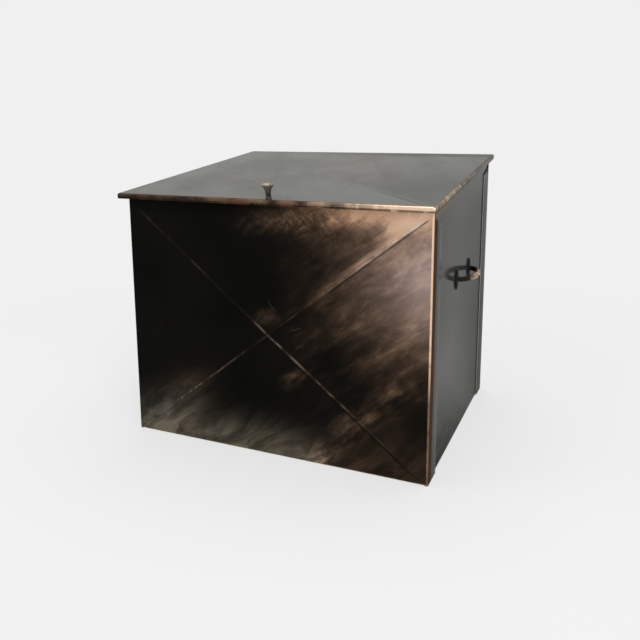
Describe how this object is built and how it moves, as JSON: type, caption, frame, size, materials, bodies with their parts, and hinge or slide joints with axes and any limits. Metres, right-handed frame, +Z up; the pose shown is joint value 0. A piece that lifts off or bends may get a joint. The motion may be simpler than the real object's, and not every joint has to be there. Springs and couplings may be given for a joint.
{
  "type": "log storage box",
  "caption": "Folded sheet metal log box with a cross-broken front, a sloping hinged lid with a small knob, and a forged bow handle on each side",
  "frame": {"origin": "on the floor under the middle of the whole box, lid overhangs included", "axes": "+X to the right of someone who faces the front, +Y from the front to the hinges, +Z up"},
  "size_m": [0.551, 0.433, 0.4532],
  "materials": {
    "front_patina": "black paint with dry-brushed copper, satin",
    "lid_patina": "black paint, copper on the rim, satin gloss",
    "wall_black": "black paint, satin gloss",
    "handle_iron": "forged iron, black with rubbed copper",
    "knob_copper": "turned steel, black with rubbed copper",
    "hinge_black": "black paint, satin",
    "zinc": "zinc plated"
  },
  "bodies": {
    "box": {"front_panel": "front_patina", "back_panel": "wall_black", "left_side_panel": "wall_black", "right_side_panel": "wall_black", "bottom_panel": "wall_black", "left_handle": "handle_iron", "left_handle_washer_front": "zinc", "left_handle_nut_front": "zinc", "left_handle_washer_back": "zinc", "left_handle_nut_back": "zinc", "left_hinge_body_leaf": "hinge_black", "left_hinge_pin": "hinge_black", "left_hinge_body_rivet_1": "hinge_black", "left_hinge_body_rivet_2": "hinge_black", "left_hinge_body_rivet_3": "hinge_black", "right_handle": "handle_iron", "right_handle_washer_front": "zinc", "right_handle_nut_front": "zinc", "right_handle_washer_back": "zinc", "right_handle_nut_back": "zinc", "right_hinge_body_leaf": "hinge_black", "right_hinge_pin": "hinge_black", "right_hinge_body_rivet_1": "hinge_black", "right_hinge_body_rivet_2": "hinge_black", "right_hinge_body_rivet_3": "hinge_black"},
    "lid": {"lid_panel": "lid_patina", "lid_knob": "knob_copper", "knob_washer": "zinc", "knob_screw": "zinc", "left_hinge_lid_leaf": "hinge_black", "left_hinge_lid_rivet_1": "lid_patina", "left_hinge_lid_rivet_2": "lid_patina", "left_hinge_lid_rivet_3": "lid_patina", "right_hinge_lid_leaf": "hinge_black", "right_hinge_lid_rivet_1": "lid_patina", "right_hinge_lid_rivet_2": "lid_patina", "right_hinge_lid_rivet_3": "lid_patina"}
  },
  "joints": [
    {"name": "lid_hinge", "type": "hinge", "parent": "box", "child": "lid", "pos_m": [0, 0.2073, 0.44695], "axis": [-1, 0, 0], "range_deg": [0, 120]}
  ]
}
